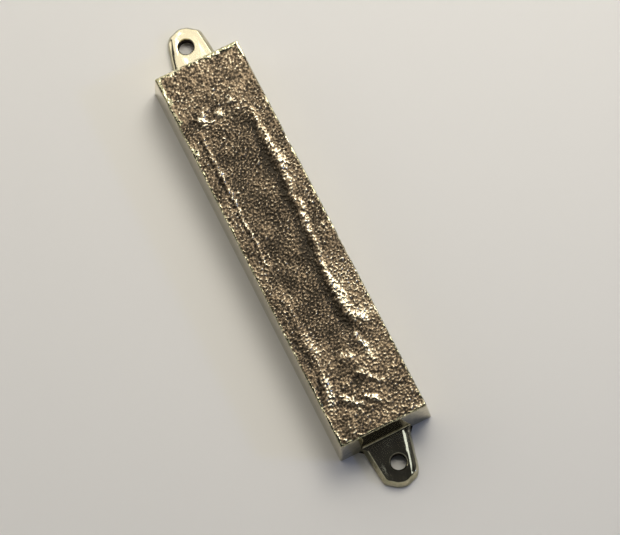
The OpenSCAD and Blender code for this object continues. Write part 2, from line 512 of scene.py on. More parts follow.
@dataclass(frozen=True)
class CastBronze:
    """Bronze that is polished on its walls and dark in the hollows of its cast face."""

    bright: Colour = (0.77, 0.69, 0.505)
    rubbed: Colour = (0.79, 0.70, 0.515)
    brown: Colour = (0.232, 0.169, 0.107)
    # Darkest tone where the peak is lowest: patina in the hollows, and painted shade in the
    # grain's valleys, the trenches and the screw holes' bores.
    hollow: Colour = (0.026, 0.017, 0.006)
    # Darker wall tone, partly tarnish in a random mottle and partly painted shade: walls take it
    # where their peak is low, towards the back and on the end walls.
    tarnish_and_shade: Colour = (0.33, 0.315, 0.20)
    grain_size: float = 0.32
    speckle: float = 0.12
    mottle: float = 2.4
    hollow_to_brown: Pair = (0.12, 0.48)
    brown_to_rubbed: Pair = (0.48, 0.95)
    tarnish_and_shade_to_bright: Pair = (0.3, 0.95)
    cast_rough: Pair = (0.52, 0.27)
    wall_rough: Pair = (0.06, 0.13)
    hollow_metal: float = 0.55

    def material(self) -> bpy.types.Material:
        """Build the material from the mesh's polish and peak marks."""
        paint = Paint("cast_bronze")
        polish, peak = paint.mark("polish"), paint.mark("peak")
        fleck = paint.noise(self.grain_size, 2.0, 0.7)
        cloud = paint.noise(6.0, 2.0)
        high = (peak + (fleck - 0.5) * self.speckle + (cloud - 0.5) * self.speckle).clamp()
        cast = paint.blend(high.ramp(*self.hollow_to_brown), self.hollow, self.brown)
        cast = paint.blend(high.ramp(*self.brown_to_rubbed), cast, self.rubbed)
        haze = paint.noise(1.3, 5.0, 0.65, scale=(1.0, 0.6, 1.0))
        # Walls: tarnish mottle by haze, and painted shade where their peak is low.
        clean = peak + (haze - 0.5) * (1.0 - peak) * self.mottle
        walls = paint.blend(clean.ramp(*self.tarnish_and_shade_to_bright), self.tarnish_and_shade, self.bright)
        colour = paint.blend(polish, cast, walls)
        cast_rough = high.ramp(0.2, 0.9, *self.cast_rough)
        scratch = paint.noise(0.12, 2.0, scale=(1.0, 0.05, 1.0))
        wall_rough = scratch.ramp(0.3, 0.8, *self.wall_rough)
        rough = cast_rough * (1.0 - polish) + wall_rough * polish
        metal = high.ramp(0.15, 0.6, self.hollow_metal, 1.0) * (1.0 - polish) + polish
        pits = paint.cells(0.22) * 0.6 + fleck * 0.6
        paint.bump(pits * (1.0 - polish) + scratch * polish * 0.02, 0.05, 0.25)
        return paint.finish(Base_Color=colour, Roughness=rough, Metallic=metal)


# --------------------------------------------------------------------------- relief


class Side(Enum):
    """An edge of the cast face: the axis it is measured on and the way it faces."""

    LEFT = (0, -1)
    RIGHT = (0, 1)
    LOWER = (1, -1)
    UPPER = (1, 1)


@dataclass(frozen=True)
class Ridge:
    """A raised line: points of x, y, half width and height, all in mm."""

    points: tuple[tuple[float, float, float, float], ...]
    undercut: float = 0.0
    full_height: float = 0.28

    def height(self, x: np.ndarray, y: np.ndarray) -> tuple[np.ndarray, np.ndarray]:
        """Height of the ridge, and how much of it is ridge top.

        Each stretch is a bell exp(-2 r^2) across, r being the distance in half widths.
        A trench of the same bell lies 1.7 half widths to its left, and the top is a wider
        bell, shifted a third of a half width to the right: partly the rubbed top, partly a
        painted highlight on the ridge's lit side. It is full where the ridge is at least
        full_height high.

        Args:
            x, y: Points of the face.

        Returns:
            The height in mm, and a share from 0 to 1.
        """
        crest, top, trench = (np.zeros_like(x) for _ in range(3))
        for (x0, y0, w0, h0), (x1, y1, w1, h1) in zip(self.points, self.points[1:]):
            along, across = x1 - x0, y1 - y0
            length = along * along + across * across
            t = np.clip(((x - x0) * along + (y - y0) * across) / length, 0.0, 1.0)
            half = w0 + (w1 - w0) * t
            tall = h0 + (h1 - h0) * t
            off_x, off_y = x - x0 - t * along, y - y0 - t * across
            bell = np.exp(-2.0 * (off_x ** 2 + off_y ** 2) / half ** 2)
            crest = np.maximum(crest, tall * bell)
            # Painted highlight: the top bell is shifted towards +X, the lit side; it is also the
            # rubbed top.
            lit = np.exp(-1.4 * ((off_x / half - 0.35) ** 2 + (off_y / half) ** 2))
            top = np.maximum(top, np.minimum(1.0, tall / self.full_height) * lit)
            dip = np.exp(-2.0 * ((off_x / half + 1.7) ** 2 + (off_y / half) ** 2))
            trench = np.maximum(trench, tall * dip)
        return crest - self.undercut * trench, top


@dataclass(frozen=True)
class Lip:
    """How far the polish of a wall reaches over one edge of the face."""

    side: Side
    reach: Curve


@dataclass(frozen=True)
class Areas:
    """How far each point of the face belongs to each of its areas, from 0 to 1."""

    panel: np.ndarray
    shelf: np.ndarray
    foot: np.ndarray
    rim: np.ndarray
    figure: np.ndarray
    pit: np.ndarray


@dataclass
class Relief:
    """The cast front: grain, two long ridges, an oval figure above and marks below.

    Between the ridges lies a sunk panel, right of the right ridge a raised shelf, and along
    its left foot a low strip. A pair such as panel_left holds where an area starts and where
    it is full, and a pair such as panel_top where it is still full and where it ends.
    """

    half_w: float
    half_l: float
    grain: float = 0.115
    wander: float = 0.16
    shiver: float = 0.03
    free_rise: float = 0.18
    last_rise: float = 0.24
    broken_away: float = 0.7
    edge_fade: float = 0.7
    panel_left: Pair = (-7.9, -6.6)
    panel_right: Pair = (-0.6, 0.2)
    panel_bottom: Pair = (-34.0, -20.0)
    panel_top: Pair = (30.4, 32.2)
    shelf_left: Pair = (-0.2, 0.6)
    shelf_bottom: Pair = (-26.8, -25.6)
    shelf_top: Pair = (31.0, 37.0)
    foot_bottom: Pair = (-30.0, -24.0)
    foot_top: Pair = (26.0, 33.0)
    foot_off: float = 1.3
    foot_half: float = 1.2
    figure_y: float = 35.6
    figure_half: Pair = (5.6, 2.7)
    rim_half: float = 0.24
    pit_centre: Pair = (-0.5, -37.9)
    pit_half: Pair = (2.2, 1.5)
    drift_rise: float = 0.05
    panel_depth: float = 0.12
    foot_depth: float = 0.10
    shelf_rise: float = 0.08
    rim_rise: float = 0.10
    figure_rise: float = 0.06
    pit_depth: float = 0.2
    rubbed: float = 0.355
    panel_dark: float = 0.09
    # Painted shadow: the foot strip left of the right ridge is darkened as the ridge's shadow.
    foot_painted_shadow: float = 0.16
    shelf_light: float = 0.15
    pit_dark: float = 0.14
    drift_light: float = 0.06
    grain_light: float = 0.24
    lump_light: float = 0.04
    # Partly rubbed ridge tops and bead domes, partly a painted highlight on the ridges' lit side.
    top_rub_and_highlight: float = 0.50
    # Painted shadow: the trench left of each ridge is darkened in the peak, as the ridge's
    # shadow.
    trench_painted_shadow: float = 1.2
    ridge_line: Curve = ((-27, 5.0), (-22, 4.1), (-8, 4.0), (1, 4.9), (12, 5.9), (33, 6.2))
    shelf_glow: Curve = ((-27, 0.3), (-24, 1.0), (-12, 0.9), (-7, -0.5), (3, -0.4),
                         (12, -0.4), (22, -0.6), (33, -0.1))
    right_ridge: Ridge = Ridge((
        (6.5, 33, 0.6, 0.12), (6.3, 29, 0.8, 0.22), (6.3, 25, 1.0, 0.32),
        (6.4, 22, 1.2, 0.40), (6.7, 18, 1.55, 0.46), (6.5, 16.4, 1.15, 0.40),
        (6.1, 15, 0.6, 0.20), (6.3, 12.8, 1.15, 0.38), (6.2, 11, 1.0, 0.36),
        (5.4, 9.7, 0.95, 0.34), (5.5, 8.2, 0.8, 0.26), (6.2, 7, 1.15, 0.38),
        (6.4, 5.2, 1.0, 0.36), (5.6, 4.4, 0.95, 0.34), (5.8, 2.4, 1.0, 0.32),
        (5.2, 1, 0.9, 0.32), (5.3, -1.5, 0.6, 0.18), (5.4, -3.2, 1.0, 0.32),
        (5.3, -5.2, 0.8, 0.28), (4.7, -7.2, 0.8, 0.3), (4.3, -8.6, 0.7, 0.28),
        (4.2, -13, 0.85, 0.34), (4.4, -16, 1.2, 0.42), (4.7, -19, 1.4, 0.46),
        (4.6, -22.0, 1.15, 0.42), (5.3, -23.8, 1.2, 0.42), (6.4, -24.2, 1.5, 0.48),
        (7.2, -25.6, 0.9, 0.24)), 0.55)
    left_ridge: Ridge = Ridge((
        (-7.0, 33, 0.3, 0.10), (-7.1, 30, 0.4, 0.24), (-7.2, 26, 0.45, 0.30),
        (-7.1, 22, 0.5, 0.40), (-7.1, 19, 0.5, 0.42), (-7.0, 16.3, 0.48, 0.38),
        (-7.05, 15.4, 0.35, 0.2), (-7.0, 14.0, 0.48, 0.36), (-7.1, 11.4, 0.42, 0.32),
        (-7.3, 9, 0.42, 0.34), (-7.2, 6.4, 0.35, 0.24), (-6.9, 3, 0.4, 0.30),
        (-7.0, 0, 0.35, 0.24), (-7.3, -1.6, 0.45, 0.34), (-7.3, -3.0, 0.45, 0.26),
        (-6.6, -5.5, 0.5, 0.08), (-6.9, -12, 0.6, 0.10), (-6.8, -21, 0.7, 0.10),
        (-7.0, -24, 1.2, 0.20), (-6.6, -28, 1.3, 0.20), (-7.2, -31.5, 0.8, 0.12),
        (-7.4, -33, 0.5, 0.14), (-7.5, -34.8, 0.8, 0.34), (-7.7, -37.0, 1.05, 0.44),
        (-8.4, -39.2, 1.05, 0.38), (-9.3, -40.6, 0.6, 0.18)), 0.9)
    crescent: Ridge = Ridge((
        (-3.2, 37.4, 0.65, 0.36), (-4.6, 36.8, 0.95, 0.55), (-5.5, 35.5, 1.1, 0.6),
        (-5.0, 34.2, 1.0, 0.55), (-3.4, 33.8, 0.75, 0.42)), 0.6)
    lower_marks: tuple[Ridge, ...] = (
        Ridge(((0.4, -36.0, 0.8, 0.26), (1.4, -36.9, 0.9, 0.36), (2.5, -38.2, 0.9, 0.34),
               (3.3, -39.4, 0.8, 0.28), (4.8, -40.6, 0.7, 0.18)), 0.8),
        Ridge(((-5.6, -39.6, 0.9, 0.28), (-4.8, -41, 1.0, 0.36), (-3.4, -42.3, 0.9, 0.34),
               (-2.0, -42.7, 0.6, 0.2)), 0.8),
        Ridge(((-0.6, -42.0, 0.8, 0.28), (0.8, -42.9, 0.9, 0.36), (2.1, -44.0, 0.6, 0.22)), 0.8),
        Ridge(((-1.4, -31.2, 1.3, 0.22), (-0.2, -31.6, 1.5, 0.34), (0.6, -33.4, 1.0, 0.14)), 0.2),
        Ridge(((3.9, -27.6, 0.8, 0.30), (4.2, -29.6, 1.0, 0.46), (4.6, -32.0, 1.2, 0.22),
               (5.0, -34.4, 1.0, 0.10)), 0.3),
    )
    corner_marks: tuple[Ridge, ...] = (
        Ridge(((-10.4, -46.8, 0.35, 0.2), (-10.0, -48.2, 0.35, 0.24),
               (-9.3, -49.1, 0.3, 0.2)), 0.0),
        Ridge(((-6.9, -48.3, 0.3, 0.2), (-5.5, -49.3, 0.35, 0.22), (-3, -49.9, 0.3, 0.2)), 0.0),
    )
    beads: tuple[Triple, ...] = (
        (-0.8, 35.1, 1.15), (-1.7, 35.5, 0.7), (3.5, 34.3, 0.7), (2.9, 36.7, 0.8),
        (2.7, 38.2, 0.45), (3.7, 36.2, 0.35),
        (0.1, 37.2, 0.3), (-3.8, 38.0, 0.3), (0.3, 41.3, 0.42), (-4.5, 43.2, 0.35),
        (-7.5, 41.7, 0.36), (-8.2, 42.4, 0.28), (4.8, 42.3, 0.34), (-0.4, 31.5, 0.34),
        (-2.3, 29.1, 0.34), (-5.6, 26.3, 0.28), (-4.2, 26.0, 0.3), (-0.2, 23.4, 0.42),
        (2.0, 20.0, 0.45), (-2.6, 16.6, 0.3), (-5.6, 15.3, 0.3), (5.6, 32.7, 0.3),
        (2.6, 33.4, 0.3), (4.3, 45.7, 0.3), (-2.3, 49.2, 0.4), (-4.9, 44.8, 0.3),
        (9.2, 9.0, 0.6), (9.0, 5.5, 0.6), (8.8, -0.5, 0.55), (7.5, -4.5, 0.45),
        (9.0, -10.0, 0.4), (9.3, 11.8, 0.4), (-6.0, -2.0, 0.35), (4.2, -29.4, 0.7),
        (-3.3, -43.8, 0.35), (-4.5, -44.8, 0.35), (9.0, 21.2, 0.4), (8.6, 13.2, 0.3),
    )
    lips: tuple[Lip, ...] = (
        Lip(Side.LEFT, ((50, 1.2), (44.5, 0.95), (43, 1.6), (42.3, 1.4), (41.8, 0.3),
                        (41, 0.7), (38.5, 0.95), (37, 1.55), (36.5, 0.3), (30, 0.4),
                        (29.3, 1.2), (29, 1.9), (27.6, 1.4), (27, 0.5), (20, 0.42),
                        (5, 0.36), (-30, 0.34), (-34, 0.45), (-46, 0.5), (-50, 0.7))),
        Lip(Side.RIGHT, ((50, 1.1), (47, 0.8), (45.5, 0.5), (44.5, 0.1), (36, 0.1),
                         (34.5, 0.4), (30, 0.35), (26, 0.3), (24.5, 0.2), (24, 0.0),
                         (20.6, 0.0), (19.4, 0.55), (15, 0.45), (10, 0.3), (3, 0.35),
                         (-4.5, 0.3), (-5, 0.0), (-7.4, 0.0), (-7.8, 0.5), (-8.2, 0.0),
                         (-11, 0.0), (-12, 0.3), (-30, 0.35), (-50, 0.4))),
        Lip(Side.UPPER, ((-11, 1.0), (-5, 0.8), (-3.4, 0.3), (-2, 0.9), (0.5, 0.6),
                         (3, 1.3), (11, 1.3))),
        Lip(Side.LOWER, ((-11, 0.5), (-6, 0.25), (-4, 0.5), (0, 0.3), (11, 0.35))),
    )
    bites: tuple[Triple, ...] = (
        (40.0, 3.6, 0.16), (22.3, 1.5, 0.42), (-4.9, 0.8, 0.34), (-6.6, 0.8, 0.16),
        (-9.6, 1.3, 0.24))

    def __post_init__(self) -> None:
        """Make the noise sheets, each from a seed of its own."""
        self.bend = self.sheet(2.2, 11)
        self.drift = self.sheet(9.0, 12, 0.5)
        self.ragged = self.sheet(0.9, 13)
        self.breaks = self.sheet(1.2, 14, 0.4)
        self.worms = self.sheet(0.80, 21, 0.40)
        self.grit = self.sheet(0.62, 22, 0.30)
        self.lumps = self.sheet(1.35, 23, 0.4)
        self.edge_rag = self.sheet(1.6, 41, 0.5)

    def sheet(self, wavelength: float, seed: int, spread: float = 0.3) -> NoiseSheet:
        """A noise sheet that covers the face without repeating."""
        return NoiseSheet(wavelength, seed, 2 * self.half_w, 2 * self.half_l, spread)

    def bite(self, x: np.ndarray, y: np.ndarray) -> np.ndarray:
        """How far the right edge is broken away: flat-topped bells along y, near it."""
        deep = sum(depth * np.exp(-((y - where) / half) ** 4)
                   for where, half, depth in self.bites)
        return deep * np.exp(-np.maximum(self.half_w - x, 0.0) / self.edge_fade)

    def areas(self, x: np.ndarray, y: np.ndarray, wx: np.ndarray,
              wy: np.ndarray) -> Areas:
        """Where the areas of the face lie.

        The rim of the figure is a bell across an oval. The pit is a flat-bottomed bell, and
        the foot is a bell foot_off left of the right ridge's line.

        Args:
            x, y: Points of the face, in mm.
            wx, wy: The same points after they have wandered.

        Returns:
            The share of each area at each point.
        """
        right = x - along_curve(self.ridge_line, y)
        wandered_right = wx - along_curve(self.ridge_line, y)
        oval = np.hypot(wx / self.figure_half[0], (wy - self.figure_y) / self.figure_half[1])
        hole = (((wx - self.pit_centre[0]) / self.pit_half[0]) ** 2
                + ((wy - self.pit_centre[1]) / self.pit_half[1]) ** 2)
        return Areas(
            panel=(smooth(*self.panel_left, wx) * (1 - smooth(*self.panel_right, wandered_right))
                   * (1 - smooth(*self.panel_top, wy)) * smooth(*self.panel_bottom, y)),
            shelf=(smooth(*self.shelf_left, right) * smooth(*self.shelf_bottom, wy)
                   * (1 - smooth(*self.shelf_top, y))),
            foot=(np.exp(-((wandered_right + self.foot_off) / self.foot_half) ** 2)
                  * smooth(*self.foot_bottom, y) * (1 - smooth(*self.foot_top, y))),
            rim=np.exp(-((oval - 1.0) / self.rim_half) ** 2),
            figure=oval < 1.0,
            pit=np.exp(-hole ** 2))

    def raised(self, x: np.ndarray, y: np.ndarray, wx: np.ndarray,
               wy: np.ndarray) -> tuple[np.ndarray, np.ndarray]:
        """The ridges, marks and beads, and how far each point is the top of one.

        A ridge is taller and lower by turns, as a slow noise breaks it. A bead is a bell
        with a shallow moat round it.

        Args:
            x, y: Points of the face, in mm.
            wx, wy: The same points after they have wandered.

        Returns:
            The height in mm, and a share from 0 to 1.
        """
        features, tops = np.zeros_like(x), np.zeros_like(x)
        broken = 0.8 + 0.38 * self.breaks(x, y)
        for ridge in (self.right_ridge, self.left_ridge, self.crescent,
                      *self.lower_marks, *self.corner_marks):
            tall, top = ridge.height(wx, wy)
            features += tall * np.clip(broken, 0.2, 1.4)
            tops = np.maximum(tops, top ** 1.2 * np.clip(broken + 0.15, 0.0, 1.0))
        for bead_x, bead_y, radius in self.beads:
            r2 = ((wx - bead_x) ** 2 + (wy - bead_y) ** 2) / radius ** 2
            dome = np.exp(-1.6 * r2)
            features += 0.56 * radius ** 0.6 * dome - 0.10 * np.exp(-((r2 - 2.4) ** 2))
            tops = np.maximum(tops, dome)
        return features, tops

    def texture(self, x: np.ndarray, y: np.ndarray) -> tuple[np.ndarray, np.ndarray]:
        """The grain of the casting, and its largest lumps.

        Three noises are added, and an exponential of the sum, cut off at the top, makes
        knobs on flatter ground. Separate round grains take over towards both ends.

        Args:
            x, y: Points of the face, in mm.

        Returns:
            Two heights, both in units of the grain's own height.
        """
        lumps = self.lumps(x, y)
        mixed = 0.75 * self.worms(x, y) + 0.45 * self.grit(x, y) + 0.42 * lumps
        knobs = np.minimum(1.35 * np.exp(0.55 * mixed) - 1.5, 2.2)
        ends = np.maximum(smooth(33, 44, y + 3.0 * self.drift(x + 3, y)),
                          1 - smooth(-40, -24, y))
        share = 0.15 + 0.60 * ends
        worn = smooth(-1.2, 1.2, self.drift(x + 20, y + 9)) * 0.3 + 0.85
        return worn * (knobs * (1 - share) + self.bead_field(x, y) * share), lumps

    def polish(self, x: np.ndarray, y: np.ndarray) -> np.ndarray:
        """How far the walls' polish reaches over the edges of the face, from 0 to 1."""
        polish = np.zeros_like(x)
        for lip in self.lips:
            axis, way = lip.side.value
            half = (self.half_w, self.half_l)[axis]
            depth = half - way * (x, y)[axis]
            reach = along_curve(lip.reach, (y, x)[axis]) + 0.13 * self.bend(x + 2.0, y + 5.0)
            polish = np.maximum(polish, smooth(-0.12, 0.22, reach - depth))
        return polish

    def ground(self, x: np.ndarray, y: np.ndarray, area: Areas) -> np.ndarray:
        """Height of the ground in mm: each area raised or sunk, on a slow drift."""
        return (self.drift_rise * self.drift(x, y) - self.panel_depth * area.panel
                - self.foot_depth * area.foot + self.shelf_rise * area.shelf
                + self.rim_rise * area.rim + self.figure_rise * area.figure
                - self.pit_depth * area.pit)

    def ground_tone_and_light(self, x: np.ndarray, y: np.ndarray, area: Areas) -> np.ndarray:
        """Base level of the peak on the ground, area by area.

        It is lower in the panel, the foot and the pit, drifts slowly at random, and on the
        shelf follows shelf_glow along its length. The darker foot is a painted shadow of
        the right ridge, and the face gets slightly brighter towards its upper and its right
        edge, painted light from that side.
        """
        glow = along_curve(self.shelf_glow, y)
        # Painted shadow: the foot left of the right ridge is darker.
        return (self.rubbed - self.panel_dark * area.panel - self.foot_painted_shadow * area.foot
                + self.shelf_light * area.shelf * glow
                # Painted light: slightly brighter towards the upper and the right edge, where the
                # light comes from.
                + 0.01 * smooth(38, 50, y) + 0.02 * smooth(2, 9, x)
                + self.drift_light * self.drift(x + 11, y + 3) - self.pit_dark * area.pit)

    def shape(self, x: np.ndarray, y: np.ndarray) -> tuple[np.ndarray, ...]:
        """Height, polish and peak of the face.

        The height is the ground, the raised features and the grain, which is weak on the
        features' tops and a little calmer towards both ends. Polish flattens it, and past
        free_rise it only creeps up to last_rise more. The peak follows the grain and the
        tops, and is low in hollows and trenches: partly patina and wear, partly painted
        shade in the grain's valleys and the trenches and a painted highlight on the tops.

        Args:
            x, y: Points of the face, in mm.

        Returns:
            The height over the face plane in mm, and the polish and peak marks.
        """
        wx = x + self.wander * self.bend(x, y) + self.shiver * self.ragged(x, y)
        wy = (y + self.wander * self.bend(x + 7.3, y + 31.0)
              + self.shiver * self.ragged(x + 4.1, y + 17.0))
        area = self.areas(x, y, wx, wy)
        features, tops = self.raised(x, y, wx, wy)
        grain, lumps = self.texture(x, y)
        polish = self.polish(x, y)

        calm = self.grain * (1 - 0.25 * smooth(36, 46, y) - 0.10 * (1 - smooth(-34, -26, y)))
        height = (self.ground(x, y, area) + features
                  + calm * (grain + 0.10 * lumps) * (1 - 0.85 * tops))
        height = (height * (1 - 0.85 * polish) + 0.08 * polish
                  - self.broken_away * self.bite(x, y))
        over = np.maximum(height - self.free_rise, 0.0)
        height = (np.minimum(height, self.free_rise)
                  + self.last_rise * np.tanh(over / self.last_rise))

        # Painted shade and highlight in the peak, beside patina and wear: the grain's valleys and
        # the trenches darker, the ridges' lit tops brighter.
        peak = np.clip(self.ground_tone_and_light(x, y, area) + self.grain_light * grain
                       + self.lump_light * lumps + self.top_rub_and_highlight * tops
                       + self.trench_painted_shadow * np.minimum(features, 0), 0, 1)
        return height, polish, peak

    def bead_field(self, x: np.ndarray, y: np.ndarray) -> np.ndarray:
        """Round separate grains: domes 1 - (d / r)^2 about jittered lattice points.

        Args:
            x, y: Points of the face, in mm.

        Returns:
            Dome height, from -0.9 between grains to about 1.9 on top of a large one.
        """
        pitch, ground = 0.60, -0.9
        column, row = np.floor(x / pitch), np.floor(y / pitch)
        height = np.full_like(x, ground)
        rng = np.random.default_rng(31)
        jitter = rng.uniform(0.1, 0.9, (256, 64, 2))
        radius = rng.uniform(0.20, 0.50, (256, 64))
        for step_y in (-1, 0, 1):
            for step_x in (-1, 0, 1):
                i = (column + step_x).astype(int) % 64
                j = (row + step_y).astype(int) % 256
                centre_x = (column + step_x + jitter[j, i, 0]) * pitch
                centre_y = (row + step_y + jitter[j, i, 1]) * pitch
                r2 = ((x - centre_x) ** 2 + (y - centre_y) ** 2) / radius[j, i] ** 2
                dome = np.maximum(1 - r2, 0.0) * (1.0 + radius[j, i] * 3.6) + ground
                height = np.maximum(height, dome)
        return height


# --------------------------------------------------------------------------- the case


@dataclass
class CaseShell:
    """The casting: relief front, drafted walls, two ears, and the hollow behind."""

    face_h: float = 11.2
    draft: float = 0.85
    edge_r: float = 0.35
    corner_r: float = 0.45
    face_pitch: float = 0.19
    edge_fade: float = 0.5
    edge_bite: float = 0.16
    edge_rag: float = 0.035
    edge_fall: float = 0.9
    squeeze: float = 0.7
    uneven_reach: float = 0.7
    slide_from: float = 9.0
    wall_rows: tuple[float, ...] = (10.6, 10.1, 9.4, 8.0, 5.2)
    crease_rows: tuple[float, ...] = (1.0, 0.62, 0.3, 0.08)
    # Painted shade: the walls' peak falls from 1 at the top to 0.55 at the back, and the end
    # walls are capped lower, so both are darker.
    wall_painted_light: Curve = ((0.0, 0.55), (4.6, 0.6), (5.4, 0.75), (8.2, 1.0))
    end_painted_light: float = 0.74
    hole_reach: float = 7.3
    hole_r: float = 1.9
    hole_chamfer: float = 0.25
    ear_t: float = 2.4
    ear_tip: float = 5.4
    ear_corners: tuple[Triple, ...] = (
        (6.2, -6.45, 1.0), (5.3, 3.1, 2.4), (3.0, 5.2, 2.6), (0.0, 5.75, 3.0),
        (-3.4, 4.6, 3.0), (-6.15, -6.45, 1.0))
    ear_profile: Curve = (
        (0.0, 0.0), (0.5, 0.06), (1.3, 0.42), (2.05, 0.78), (2.3, 0.93), (2.4, 1.1))
    bevel_shares: tuple[float, ...] = (1.0, 1.0, 1.0, 1.0, 0.5)
    roll_reach: float = 2.1
    roll_drop: float = 0.55
    crease_r: float = 0.5
    ear_dish: float = 0.025
    ear_crown: float = 0.05
    rebate_half: Pair = (9.95, 48.65)
    rebate_t: float = 1.2
    rebate_r: float = 2.15
    pocket_half: Pair = (9.0, 42.5)
    pocket_top: float = 9.5
    pocket_r: float = 2.0
    pocket_fillet: float = 0.9
    tapped_r: float = 1.3
    tapped_y: float = 45.5
    tapped_top: float = 6.9
    tapped_cone: float = 0.6
    finish: CastBronze = field(default_factory=CastBronze)

    def __post_init__(self) -> None:
        """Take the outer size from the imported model."""
        _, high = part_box("case")
        self.half_w = high.x / MM - self.draft
        self.half_l = high.y / MM - self.ear_tip - self.hole_reach
        self.hole_y = self.half_l + self.hole_reach
        self.columns = 4 * round(self.half_w / self.face_pitch / 2)
        self.rows = 4 * round(self.half_l / self.face_pitch / 2)

    # ---- outline of the walls

    def half_at(self, z: float) -> Pair:
        """Half width and half length of the body at a height."""
        lean = self.draft * (1.0 - z / self.face_h)
        return self.half_w + lean, self.half_l + lean

    def spread(self, count: int, half: float) -> np.ndarray:
        """Places from -1 to 1 along a side, closer together near its ends.

        A place t * squeeze from an end moves outwards by 0.9 t exp(-t^2) of the pitch.
        """
        even = np.linspace(-1.0, 1.0, count + 1)
        pull = 0.45 * self.face_pitch / half
        ends = np.exp(-((1.0 - np.abs(even)) * half / self.squeeze) ** 2)
        return (even + np.sign(even) * pull * ends * (1 - np.abs(even)) * half
                / (self.squeeze / 2))

    def wall_loop(self, z: float) -> np.ndarray:
        """The body's outline at a height, anticlockwise from its lower left corner.

        The columns of each end wall slide sideways as they near the ear, so that two of
        them run down the ear's corners.

        Args:
            z: The height, in mm.

        Returns:
            (2 * columns + 2 * rows, 2) points.
        """
        half_x, half_y = self.half_at(z)
        across = self.spread(self.columns, self.half_w)
        along = self.spread(self.rows, self.half_l)
        share = float(smooth(self.slide_from, self.ear_t, np.array(z)))
        roots = -self.ear_outline(min(z, self.ear_t))[[0, -1], 0] / half_x
        corners = across[list(self.notch)]
        goals = corners + (roots - corners) * share
        across = np.interp(across, [-1, *corners, 1], [-1, *goals, 1])
        x = np.concatenate([across[:-1], np.ones(self.rows), -across[:-1],
                            -np.ones(self.rows)])
        y = np.concatenate([-np.ones(self.columns), along[:-1], np.ones(self.columns),
                            -along[:-1]])
        px, py = round_corners(x * half_x, y * half_y, half_x, half_y, self.corner_r)
        if z >= self.ear_t:
            fall = max(0.0, (self.ear_t + self.crease_r - z) / self.crease_r)
            crease = self.crease_r * (1 - math.sqrt(1 - fall ** 2))
            turned = -x * np.sign(y)
            inside = (smooth(goals[0], goals[0] + 0.1, turned)
                      * (1 - smooth(goals[1] - 0.1, goals[1], turned)))
            py = py + np.sign(py) * crease * inside * (np.abs(y) == 1)
        return np.column_stack([px, py])

    # ---- outline of an ear, its screw hole at the origin and its root towards -Y

    def ear_outline(self, z: float) -> np.ndarray:
        """The ear's outline at a height, from its right root round the tip to its left.

        The sides of ear_corners move inwards by the ear's inset at that height. An arc
        rounds each corner, and another hollows each corner with the end wall.

        Args:
            z: Height, in mm.

        Returns:
            (n, 2) points.
        """
        inset = float(along_curve(self.ear_profile, z))
        corners = np.array(self.ear_corners)
        along = np.diff(corners[:, :2], axis=0)
        along /= np.linalg.norm(along, axis=1)[:, None]
        inward = np.column_stack([-along[:, 1], along[:, 0]])
        push = inset * np.array(self.bevel_shares)[:, None]
        bend = np.sum(along[:-1] * along[1:], axis=1, keepdims=True)
        moved = corners[:, :2].copy()
        moved[1:-1] += ((push[:-1] - push[1:] * bend) * inward[:-1]
                        + (push[1:] - push[:-1] * bend) * inward[1:]) / (1 - bend ** 2)
        moved[[0, -1]] += push[[0, -1]] * inward[[0, -1]]
        wall_y = self.half_at(z)[1] - self.hole_y
        for end, near in ((0, 1), (-1, -2)):
            reach = (wall_y - moved[near, 1]) / (moved[end, 1] - moved[near, 1])
            moved[end] = moved[near] + (moved[end] - moved[near]) * reach
        beyond = np.array([4.0, 0.0])
        path = np.stack([moved[0] + beyond, *moved, moved[-1] - beyond])
        radii = np.maximum(corners[:, 2] - 0.7 * inset, 0.3)
        radii[[0, -1]] = corners[[0, -1], 2] + 0.5 * push[[0, -1], 0]
        return self.hand_polish(round_turns(path, radii, 9, 5))

    def hand_polish(self, outline: np.ndarray) -> np.ndarray:
        """Make the round end a little uneven, as a wheel leaves it.

        The outline moves in and out by two slow waves of the angle about the hole, which
        fade out towards the root.
        """
        angle = np.arctan2(outline[:, 1], outline[:, 0])
        wave = 0.10 * np.sin(5 * angle + 0.7) + 0.07 * np.sin(9 * angle + 2.1) - 0.08
        fade = smooth(-2.0, 3.0, outline[:, 1])
        return outline * (1 + (fade * wave)[:, None] / 6.0)

    def rolled(self, points: np.ndarray) -> np.ndarray:
        """Points of an ear, its left side rolled downwards by the polishing wheel.

        The drop starts roll_reach inside the left edge, grows to roll_drop there with
        power 1.7 of the way, and fades out towards the end wall and the underside.
        """
        (near_x, near_y, _), (root_x, root_y, _) = self.ear_corners[-2:]
        away = -points[..., 0] * np.sign(points[..., 1])
        ahead = np.abs(points[..., 1]) - self.hole_y
        edge = -near_x + (near_x - root_x) * (near_y - ahead) / (near_y - root_y)
        share = np.clip(1 + (away - edge) / self.roll_reach, 0.0, 1.0)
        fade = smooth(0.3, 1.8, np.abs(points[..., 1]) - self.half_l)
        rows = points.copy()
        rows[..., 2] -= (self.roll_drop * share ** 1.7 * fade
                         * smooth(1.0, self.ear_t, points[..., 2]))
        return rows

    @property
    def notch(self) -> tuple[int, int]:
        """The two columns of an end wall that run down the ear's corners."""
        outline = self.ear_outline(self.ear_t)
        across = -self.spread(self.columns, self.half_w) * self.half_w
        return tuple(int(np.argmin(np.abs(across - outline[end, 0]))) for end in (0, -1))

    # ---- patches

